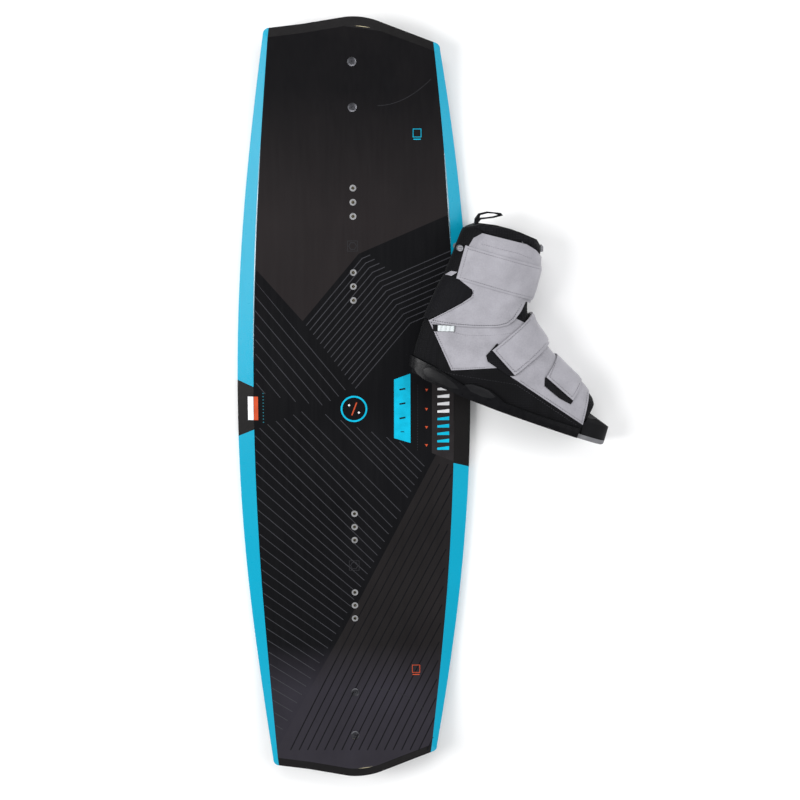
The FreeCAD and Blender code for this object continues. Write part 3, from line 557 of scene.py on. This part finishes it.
def print_deck():
    hatch = chevrons() + upper_hatch() + lower_hatch()
    draped("print_hatch", clear_of_inserts(hatch), LINES, M["ink_line"])
    draped("print_dark_lines", clear_of_inserts(tail_lines()), GROUND, M["ink_black"])
    draped("print_waist_panel", [[(144, 88), (184, 98), (184.6, -100), (144, -84)]], PANELS, M["ink_brown"])
    draped("print_block", [[(74, 54), (74, -56), (104.5, -65), (104, 65)]], BLOCKS, M["ink_blue"])
    ticks = [stroke((84, y), (95, y + 2), 3.0) for y in (35, 8, -19)] + [stroke((86, -44), (93, -44), 1.5)]
    draped("print_block_ticks", ticks, UPPER_MARKS, M["ink_black"])
    draped("print_ring", ring(0, -1, 23, 3.2), MARKS, M["ink_blue"])
    draped("print_ring_bar", [stroke((-4, -13), (5, 11), 2.4)], UPPER_MARKS, M["ink_orange"])
    draped("print_ring_pips", [disc(-9, 6, 2.4, 4), disc(9, -8, 2.4, 4)], UPPER_MARKS, M["ink_white"])
    draped("print_pips", [disc(134, y, 3.2, 3, 0.5) for y in (35, -1, -35, -69)], MARKS, M["ink_orange"])
    draped("print_dots", [disc(117.5, y, 0.7, 6) for y in range(-78, 46, 5)], MARKS, M["ink_line"])
    for name, heights, finish_name in (("print_bars_pale", (34, 20, 6, -8), "ink_white"),
                                       ("print_bars_blue", (-22, -36, -50, -64, -78), "ink_blue")):
        bars = [[(154, y), (176, y), (176, y + 7), (154, y + 4)] for y in heights]
        draped(name, bars, UPPER_MARKS, M[finish_name])
    for name, left, right, finish_name in (("print_patch_pale", -196, -185.6, "ink_white"),
                                           ("print_patch_orange", -185, -177, "ink_orange")):
        draped(name, [[(left, -22), (right, -22), (right, 22), (left, 22)]], EDGE_MARKS, M[finish_name])
    draped("print_side_dots", [disc(-167.5, y, 1.2, 8) for y in range(-26, 30, 6)], EDGE_MARKS, M["ink_teal"])
    for name, y, finish_name in (("nose", 501, "ink_blue"), ("tail", -501, "ink_orange")):
        mark = ring(115.5, y, 10, 1.4, 4, math.pi / 4) + [stroke((109, y - 11), (122, y - 11), 1.6)]
        draped(f"print_mark_{name}", mark, MARKS, M[finish_name])
    squares = []
    for y in (299, -300):
        squares += ring(-1, y, 13, 1.3, 4, math.pi / 4) + ring(-1, y, 7, 1.3, 6)
    draped("print_squares", squares, MARKS, M["ink_faint"])
    facets = []
    for y, way in ((543, 1), (-534, -1)):
        curve = [(45 + 95 * t, y + way * (6 + 46 * t * t)) for t in (i / 12 for i in range(13))]
        facets += strokes(curve, 0.9)
    draped("print_facets", facets, MARKS, M["ink_faint"])


print_deck()


# ---------------------------------------------------------------- boot form

# how the boot lies, in millimetres and degrees
BOOT_PLACE, BOOT_HEADING, BOOT_ROLL, BOOT_PITCH = (101.2, 66.2, 73.2), -19.7, -1.75, 4.25


def turned(degrees, axis):
    return Matrix.Rotation(math.radians(degrees), 4, axis)


BOOT = (Matrix.Translation(Vector(BOOT_PLACE) * MM) @ turned(BOOT_HEADING, "Z") @ turned(-90, "X")
        @ turned(BOOT_ROLL, "X") @ turned(BOOT_PITCH, "Z"))

# height, heel, toe, half width at the ball, half width at the heel
SECTIONS = [
    (-3, 3, 379, 55, 37), (10, 1, 379, 56, 38), (34, -5, 377, 56, 40), (60, -8, 354, 55, 41),
    (85, -9, 321, 52, 42), (100, -10, 293, 49, 43), (118, -9, 253, 46, 43), (135, -8, 221, 44, 43),
    (155, -6, 196, 43, 43), (175, -4, 170, 42, 43), (200, 0, 157, 43, 43), (235, 2, 154, 46, 45),
    (270, 3, 150, 48, 47), (316, 5, 138, 49, 48),
]
# how boxy the form is in plan, and the heights between which a grown form stands further forward
BOXINESS = 0.85
FRONT_GAIN, GAIN_STARTS, GAIN_ENDS = 0.8, (60, 85), (175, 200)
CREASE_SCALE, FINE_CREASE, FINE_SHARE = (0.030, 0.030, 0.055), 3.1, 0.4


def section(z):
    """The boot's outline at one height, on a smooth curve through the table."""
    i = max(k for k in range(len(SECTIONS) - 1) if k == 0 or SECTIONS[k][0] <= z)
    last = len(SECTIONS) - 1
    before, low, high, after = (SECTIONS[min(max(i + s, 0), last)] for s in (-1, 0, 1, 2))
    rise = high[0] - low[0]
    t = min(max((z - low[0]) / rise, 0.0), 1.0)
    values = []
    for c in range(1, 5):
        a = (high[c] - before[c]) / (high[0] - before[0]) * rise
        b = (after[c] - low[c]) / (after[0] - low[0]) * rise
        values.append(low[c] * (1 + 2 * t) * (1 - t) ** 2 + a * t * (1 - t) ** 2
                      + high[c] * (3 - 2 * t) * t * t - b * (1 - t) * t * t)
    return values


def step(value, low, high):
    t = min(max((value - low) / (high - low), 0.0), 1.0)
    return t * t * (3 - 2 * t)


def girth(z, grow):
    """Middle, reach, mean half width and its lean towards the ball, at one height."""
    heel, toe, ball, back = section(z)
    gain = 1 + FRONT_GAIN * step(z, *GAIN_STARTS) * (1 - step(z, *GAIN_ENDS))
    front, rear = toe + grow * gain, heel - grow
    return (front + rear) / 2, (front - rear) / 2, (ball + back) / 2 + grow, (ball - back) / 2


def form(z, angle, grow):
    """The point of the form, or of the form grown by a distance, at a height and an angle round it."""
    middle, reach, mean, lean = girth(z, grow)
    along, across = math.cos(angle), math.sin(angle)
    width = mean + lean * along
    return Vector((middle + reach * along, math.copysign(abs(across) ** BOXINESS, across) * width, z))


def side_point(x, z, grow, side=-1):
    """The point of the form's outer (-1) or inner (1) side over one place of the side view."""
    middle, reach, _, _ = girth(z, grow)
    along = min(max((x - middle) / reach, -1.0), 1.0)
    return form(z, side * math.acos(along), grow)


def edge_distance(x, z, outline):
    best = 1e9
    for (ax, az), (bx, bz) in zip(outline, outline[1:] + outline[:1]):
        ex, ez = bx - ax, bz - az
        t = min(max(((x - ax) * ex + (z - az) * ez) / (ex * ex + ez * ez), 0.0), 1.0)
        best = min(best, math.hypot(x - ax - ex * t, z - az - ez * t))
    return best


def swell(point, outline, puff, soft, crease, seed):
    """How far a soft panel stands out: rounded off at its edges, slightly creased inside them."""
    out = puff * (step(edge_distance(point.x, point.z, outline), 0, soft) - 1)
    if crease:
        place = Vector(c * scale for c, scale in zip(point, CREASE_SCALE)) + Vector((seed, 0, 0))
        out += crease * (noise.noise(place) + FINE_SHARE * noise.noise(place * FINE_CREASE))
    return out


# a wall's points round the form and up it, and how far its cutting block reaches past the boot's sides
ROUNDS, ROW_HEIGHT, FEWEST_ROWS, ROW_MARGIN = 132, 2.6, 14, 4
BEYOND_SIDES = 130.0


def wall(name, outline, inner, outer, puff, soft, crease, seed):
    """A soft panel: the wall between two sizes of the form, inside an outline of the side view."""
    low = max(SECTIONS[0][0], min(z for _, z in outline) - ROW_MARGIN)
    high = min(SECTIONS[-1][0], max(z for _, z in outline) + ROW_MARGIN)
    rows = max(FEWEST_ROWS, int((high - low) / ROW_HEIGHT))
    vertices, faces = [], []
    for skin in (outer, inner):
        for r in range(rows + 1):
            z = low + (high - low) * r / rows
            for a in range(ROUNDS):
                angle = 2 * math.pi * a / ROUNDS
                point = form(z, angle, skin)
                if skin == outer:
                    point = form(z, angle, skin + swell(point, outline, puff, soft, crease, seed))
                vertices.append(point)
    half = (rows + 1) * ROUNDS
    for base, way in ((0, 1), (half, -1)):
        for r in range(rows):
            faces += [quad[::way] for quad in band(base + r * ROUNDS, base + (r + 1) * ROUNDS, ROUNDS)]
    for r, way in ((0, -1), (rows, 1)):
        faces += [quad[::way] for quad in band(r * ROUNDS, half + r * ROUNDS, ROUNDS)]
    blank = mesh_object(f"{name}_blank", vertices, faces, M["shell"])
    near, far = ([(x, side * BEYOND_SIDES, z) for x, z in outline] for side in (-1, 1))
    block = slab(f"{name}_block", near, far, M["shell"])
    meet = blank.modifiers.new("meet", "BOOLEAN")
    meet.operation = "INTERSECT"
    meet.solver = "EXACT"
    meet.object = block
    bpy.context.view_layer.update()
    cut = bpy.data.meshes.new_from_object(blank.evaluated_get(bpy.context.evaluated_depsgraph_get()))
    bpy.data.objects.remove(blank)
    bpy.data.objects.remove(block)
    cut.name = name
    return cut


def panel(name, outline, inner, outer, finish_name, stands_for, puff=0.0, soft=8.0, crease=0.0,
          rounding=0.7, rides=None, bends=None):
    """A soft panel in place, on its body, with its edges rolled."""
    mesh = wall(name, outline, inner, outer, puff, soft, crease, seed=len(name) * 1.7)
    thing = placed(name, mesh, M[finish_name])
    thing.data.transform(BOOT)
    for polygon in thing.data.polygons:
        polygon.use_smooth = True
    round_edges(thing, rounding, 42)
    thing.modifiers.new("shading", "WEIGHTED_NORMAL").keep_sharp = True
    attach(thing, rides, bends)
    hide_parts(*stands_for)


def attach(thing, rides, bends):
    """Rides on one body, or, when bends are given, is left on no body with its place baked into its mesh."""
    if bends:
        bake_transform(thing)
    else:
        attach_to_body(thing, rides)


def along_path(path, spacing):
    """Evenly spaced places and directions along a side-view path."""
    places = []
    carried = 0.0
    for (ax, az), (bx, bz) in zip(path, path[1:]):
        length = math.hypot(bx - ax, bz - az)
        dx, dz = (bx - ax) / length, (bz - az) / length
        reach = carried
        while reach < length:
            places.append(((ax + dx * reach, az + dz * reach), (dx, dz)))
            reach += spacing
        carried = reach - length
    return places


# in millimetres
STITCH_LENGTH, STITCH_HALF_WIDTH, STITCH_RISE = 2.5, 0.42, 0.45
# where a stitch's rings of points are along it, and how full each is
STITCH_RINGS = ((0.0, 0.4), (0.25, 1.0), (0.75, 1.0), (1.0, 0.4))


def stitching(name, paths, grow, finish_name, rides=None, bends=None, sides=(-1,), spacing=4.0):
    """Rows of stitches lying on the form."""
    vertices, faces = [], []
    for (x, z), (dx, dz) in (spot for path in paths for spot in along_path(path, spacing)):
        for side in sides:
            a, b = (side_point(x + dx * reach, z + dz * reach, grow, side)
                    for reach in (-STITCH_LENGTH / 2, STITCH_LENGTH / 2))
            out = Vector((0, side, 0))
            across = (b - a).cross(out).normalized() * STITCH_HALF_WIDTH
            rise = out * STITCH_RISE
            base = len(vertices)
            for t, full in STITCH_RINGS:
                end = a.lerp(b, t)
                vertices += [end + across - rise * 0.4, end + across * 0.5 + rise * full,
                             end - across * 0.5 + rise * full, end - across - rise * 0.4]
            for first in (base, base + 4, base + 8):
                faces += band(first, first + 4, 4)
            faces += [[base + 3, base + 2, base + 1, base], [base + 12, base + 13, base + 14, base + 15]]
    thing = mesh_object(name, vertices, faces, M[finish_name])
    thing.data.transform(BOOT)
    attach(thing, rides, bends)


# ---------------------------------------------------------------- boot pieces

# outlines of the panels in the boot's side view, in millimetres
LOWER_SHELL = [(-30, 10.6), (323, 10.6), (321.5, 25), (180, 62), (158.5, 67), (137, 72), (63, 40),
               (-4, 110), (-30, 112)]
QUARTER = [(-4, 110.5), (63, 40.5), (137, 72.5), (158.5, 67.5), (172, 165), (160, 164), (140, 166),
           (114, 150), (40, 126)]
VAMP = [(159, 67.5), (180, 62.5), (322, 25.5), (317, 89), (312, 150), (190, 200), (176, 178),
        (172.5, 165)]
CUFF = [(-4, 110), (18, 113), (40, 118), (78, 129), (114, 142), (129, 151), (138, 163), (145, 182),
        (148, 200), (190, 200), (190, 268), (158, 273), (150, 283), (132, 292), (110, 296), (69, 292),
        (30, 288), (19, 275), (16, 258), (20, 198), (47, 189), (51, 184), (50, 176), (38, 159)]
SPINE = [(-30, 203), (20, 198), (16, 258), (19, 275), (30, 288), (27, 291), (13, 292), (2, 286),
         (-30, 286)]
COLLAR = [(-30, 284), (28, 290), (69, 294), (110, 298), (134, 293), (152, 284), (160, 275), (190, 272),
          (190, 286), (152, 290), (142, 300), (127, 310), (91, 312), (60, 309), (22, 301), (4, 289),
          (-30, 286)]
GUSSET = [(-30, 113), (-5, 112), (37, 160), (49, 177), (46, 188.4), (20, 197.4), (-30, 202.4)]
LINER_LOW = [(-30, 25), (272, 25), (268, 96), (234, 112), (176, 140), (150, 158), (140, 166),
             (114, 151), (40, 127), (-30, 113)]
LINER_HIGH = [(-30, 113), (40, 127), (114, 151), (140, 166), (126, 196), (126, 294), (110, 297),
              (69, 293), (28, 289), (-30, 283)]
TONGUE = [(234, 112), (176, 140), (150, 158), (140, 166), (126, 196), (126, 294), (137, 291),
          (154, 277), (190, 271), (210, 180), (250, 116)]
UPPER_STRAP = [(15, 198), (190, 207.5), (184, 270), (158, 268), (10.5, 258)]
MID_STRAP = [(118, 99.5), (171, 71), (247, 190), (184, 206)]
TOE_STRAP = [(227, 86), (288, 62), (303, 128), (243, 140)]

TO_CUFF = ("boot", "cuff")
panel("lower_upper", LOWER_SHELL, -3.0, 0.0, "shell", ["lower_shell"], 0.7, 9, 0.35,
      rides="boot")
panel("rear_quarters", QUARTER, -3.0, 0.3, "suede", ["quarter_outer", "quarter_inner"],
      0.9, 8, 0.45, rides="boot")
panel("forefoot_vamp", VAMP, -3.0, 0.2, "suede", ["vamp"], 0.8, 8, 0.4, rides="boot")
panel("cuff_panel", CUFF, 2.0, 5.1, "suede", ["cuff_shell"], 1.3, 9, 0.6, rides="cuff")
panel("cuff_back", SPINE, 2.0, 4.6, "shell", ["cuff_spine"], 0.8, 7, 0.2, rides="cuff")
panel("collar_roll", COLLAR, -10.5, 2.6, "liner", ["collar"], 2.6, 8, 0.5, 2.2, rides="cuff")
panel("ankle_stretch", GUSSET, 2.0, 3.6, "stretch", ["achilles_gusset"], 0.5, 10, 0.6,
      bends=(*TO_CUFF, (-4, 0, 112), (20, 0, 198)))
panel("liner_foot", LINER_LOW, -10.5, -3.3, "liner", ["liner_low"], rides="boot")
panel("liner_shaft", LINER_HIGH, -10.5, 1.7, "liner", ["liner_high"],
      bends=(*TO_CUFF, (60, 0, 118), (75, 0, 230)))
panel("tongue_pad", TONGUE, -10.5, -1.6, "liner", ["tongue"], 1.6, 9, 0.8, 1.6,
      bends=(*TO_CUFF, (190, 0, 140), (150, 0, 250)))

# name, outline, inner and outer size, puff, the body that holds it, its hinge and its stitched line
STRAPS = [
    ("upper_strap", UPPER_STRAP, 4.9, 8.3, 1.7, "cuff", (162.5, 235),
     [(20, 202.5), (158, 210.5), (153, 263), (16, 254), (20, 202.5)]),
    ("mid_strap", MID_STRAP, 2.0, 6.8, 2.4, "boot", (197, 167),
     [(166, 172), (123.5, 101.5), (169, 77), (209, 142)]),
    ("toe_strap", TOE_STRAP, 2.0, 5.6, 1.8, "boot", (280, 111.5),
     [(236, 114), (231.5, 89), (284, 68), (292, 95)]),
]
for name, outline, inner, outer, puff, parent, (hx, hz), seam in STRAPS:
    bends = (parent, name, (hx, 9, hz), (hx, -9, hz))
    panel(f"{name}_band", outline, inner, outer, "strap", [f"{name}_flap", f"{name}_base"],
          puff, 6, 0.35, 0.8, bends=bends)
    stitching(f"{name}_seam", [seam], outer - 0.25, "thread", bends=bends)

stitching("cuff_seam",
          [[(3, 113.5), (40, 121.5), (78, 132.5), (112, 145), (126, 154), (134, 166), (142, 196)]],
          4.75, "thread_dark", rides="cuff", sides=(-1, 1))
stitching("cuff_top_seam", [[(36, 270), (60, 272), (100, 276), (130, 275)]], 4.85, "thread",
          rides="cuff")
stitching("gusset_seam", [[(2, 114), (41, 160), (53, 176), (49, 191)]], 4.7, "thread", rides="cuff",
          sides=(-1, 1))
stitching("quarter_seam",
          [[(2, 108), (64, 44.5), (118, 66.5)], [(20, 104), (62, 108), (104, 122), (138, 138)]],
          0.05, "thread", rides="boot", sides=(-1, 1))
stitching("vamp_seam", [[(186, 64.5), (318, 30), (313, 84)]], 0.0, "thread", rides="boot",
          sides=(-1, 1))
stitching("shell_seam", [[(20, 34), (63, 34), (180, 56), (310, 22)]], -0.1, "thread_dark", rides="boot",
          sides=(-1, 1), spacing=5.0)


def side_patch(name, outline, grow, thick, finish_name, body):
    """A small flat patch on the boot's outer side."""
    near, far = ([side_point(x, z, size) for x, z in outline] for size in (grow, grow + thick))
    thing = slab(name, near, far, M[finish_name])
    thing.data.transform(BOOT)
    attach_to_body(thing, body)


side_patch("spine_tip", [(-4, 197), (6, 199), (13, 209), (3, 207)], 6.2, 0.5, "suede", "cuff")
side_patch("tag_face", [(16.6, 98.2), (43.4, 108), (40.4, 117.6), (13.4, 108.4)], 2.3, 0.3, "tag", "boot")

# how far the sole plate's side stands out from the form, and the swells' rings, splits and crown
SOLE_FACE = 6.02
LENS_RINGS, LENS_SPLITS, LENS_CROWN = 6, 5, 0.7


def sole_lens(name, outline, rise):
    """A smooth raised swell on the sole plate's outer side, in a lighter copy of the chassis finish that
    paints its sheen.
    """
    middle = (sum(x for x, _ in outline) / len(outline), sum(z for _, z in outline) / len(outline))
    rim = [(ax + (bx - ax) * t / LENS_SPLITS, az + (bz - az) * t / LENS_SPLITS)
           for (ax, az), (bx, bz) in zip(outline, outline[1:] + outline[:1]) for t in range(LENS_SPLITS)]
    vertices, faces = [], []
    for r in range(LENS_RINGS):
        t = r / LENS_RINGS
        height = SOLE_FACE + rise * math.sin(t * math.pi / 2) ** LENS_CROWN
        vertices += [side_point(x + (middle[0] - x) * t, z + (middle[1] - z) * t, height) for x, z in rim]
    vertices.append(side_point(*middle, SOLE_FACE + rise))
    count = len(rim)
    for r in range(LENS_RINGS - 1):
        faces += band(r * count, (r + 1) * count, count)
    last = (LENS_RINGS - 1) * count
    faces += [[last + k, last + (k + 1) % count, last + count] for k in range(count)]
    thing = mesh_object(name, vertices, faces, M["chassis_painted_sheen"])
    thing.data.transform(BOOT)
    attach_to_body(thing, "boot")


sole_lens("sole_heel_lens", [(1, 26), (12, 31), (26, 32), (48, 29), (74, 21), (88, 14), (72, 10.5), (50, 11),
                             (26, 13), (12, 17)], 0.9)
sole_lens("sole_waist_lens", [(93, 25), (104, 30), (122, 30.5), (137, 29.5), (152, 23), (146, 18),
                              (131, 15.5), (107, 17)], 0.8)

# the middle of the rivet's head, on the boot
RIVET = Vector((3.5, -33.0, 250.0))
RIVET_SIDES = 32
# the mark's ring and bars as sizes at heights above the rivet's head
RIVET_RING = ((4.6, 0.0), (4.4, 0.5), (3.7, 0.5), (3.5, 0.0))
RIVET_BAR, BAR_REACH, BAR_TURN = ((0.0, 0.6), (0.4, 0.45)), 3.6, 0.4


def rivet_mark():
    """A raised ring and a cross on the rivet's head."""
    vertices, faces = [], []
    for k in range(RIVET_SIDES):
        turn = 2 * math.pi * k / RIVET_SIDES
        vertices += [RIVET + Vector((radius * math.cos(turn), -rise, radius * math.sin(turn)))
                     for radius, rise in RIVET_RING]
        faces += band(4 * ((k + 1) % RIVET_SIDES), 4 * k, 4, closed=False)
    for turn in (BAR_TURN, BAR_TURN + math.pi / 2):
        way = Vector((math.cos(turn), 0, math.sin(turn)))
        across = Vector((-math.sin(turn), 0, math.cos(turn)))
        base = len(vertices)
        for rise, wide in RIVET_BAR:
            for along, side in ((-1, -1), (1, -1), (1, 1), (-1, 1)):
                out = Vector((0, -rise, 0))
                vertices.append(RIVET + way * along * BAR_REACH + across * side * wide + out)
        faces.append([base + 4, base + 5, base + 6, base + 7])
        faces += band(base, base + 4, 4)
    thing = mesh_object("rivet_mark", vertices, faces, M["grey_web"], False)
    thing.data.transform(BOOT)
    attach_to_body(thing, "cuff")


rivet_mark()

# the lacquer run's steps along and around, and its section in millimetres
RUN_STEPS, RUN_AROUND, RUN_HALF_WIDTH, RUN_RISE, RUN_LIFT = 60, 6, 1.1, 0.35, 0.02


def lacquer_edge(name, line, start, end):
    """A fine rounded run of lacquer along a rail's inner line, thinning out at both ends."""
    vertices, faces = [], []
    for i in range(RUN_STEPS + 1):
        y = start + (end - start) * i / RUN_STEPS
        size = math.sin(math.pi * i / RUN_STEPS) ** 0.5 + 0.02
        for k in range(RUN_AROUND + 1):
            turn = math.pi * k / RUN_AROUND
            x = line(y) + RUN_HALF_WIDTH * size * math.cos(turn)
            vertices.append((x, y, deck_height(x, y) + RUN_LIFT + RUN_RISE * size * math.sin(turn)))
        if i:
            faces += band((i - 1) * (RUN_AROUND + 1), i * (RUN_AROUND + 1), RUN_AROUND + 1, closed=False)
    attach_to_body(mesh_object(name, vertices, faces, M["gloss"]), "board")


lacquer_edge("left_lacquer_edge", left_rail, 85.0, 480.0)
lacquer_edge("right_lacquer_edge", right_rail, 300.0, 470.0)


# ---------------------------------------------------------------- floor, light and camera

FLOOR_SIZE, FLOOR_DROP = 16, 0.0006


def pale_floor():
    bpy.ops.mesh.primitive_plane_add(size=FLOOR_SIZE, location=(0, 0, -FLOOR_DROP))
    floor = bpy.context.object
    floor.name = "floor"
    g = Graph("pale_floor")
    g.set(Base_Color=g.ramp(g.noise(1.4, 4), [(0.3, (0.90, 0.90, 0.90)), (0.7, (0.94, 0.94, 0.94))]))
    g.set(Roughness=g.range(g.noise(60, 3), 0.75, 0.9))
    floor.data.materials.append(g.material)


pale_floor()


def softbox(name, place, target, size, watts):
    data = bpy.data.lights.new(name, "AREA")
    data.shape = "RECTANGLE"
    data.size, data.size_y = size
    data.energy = watts
    lamp = bpy.data.objects.new(name, data)
    scene.collection.objects.link(lamp)
    lamp.location = place
    lamp.rotation_euler = (Vector(target) - Vector(place)).to_track_quat("-Z", "Y").to_euler()


softbox("left_softbox", (-2.6, 0.3, 2.3), (0, 0, 0), (1.5, 2.6), 104)
softbox("right_softbox", (2.9, 0.6, 2.4), (0.1, 0, 0), (2.0, 3.4), 72)
softbox("nose_softbox", (0.0, 2.4, 3.0), (0, -0.2, 0), (2.8, 1.2), 52)
softbox("tail_softbox", (0.3, -3.0, 1.9), (0, 0, 0), (3.0, 1.6), 30)

world = bpy.data.worlds.new("studio")
scene.world = world
world.use_nodes = True
sky = world.node_tree.nodes["Background"].inputs
sky["Color"].default_value = (0.95, 0.97, 1.0, 1)
sky["Strength"].default_value = 0.25

# the camera that fits the photograph: what it looks at, its tilt, distance and focal length
TARGET, TILT, DISTANCE = Vector((0.0850, 0.0157, 0.022)), math.radians(9.75), 2.836
SENSOR_MM, FOCAL_PIXELS, IMAGE_PIXELS = 36, 1537.4, 800
camera = bpy.data.objects.new("camera", bpy.data.cameras.new("camera"))
scene.collection.objects.link(camera)
camera.location = TARGET + Vector((0, math.sin(TILT), math.cos(TILT))) * DISTANCE
camera.rotation_euler = (-TILT, 0, 0)
camera.data.sensor_width = SENSOR_MM
camera.data.lens = SENSOR_MM * FOCAL_PIXELS / IMAGE_PIXELS
camera.data.clip_end = 40
scene.camera = camera
scene.view_settings.view_transform = "Standard"
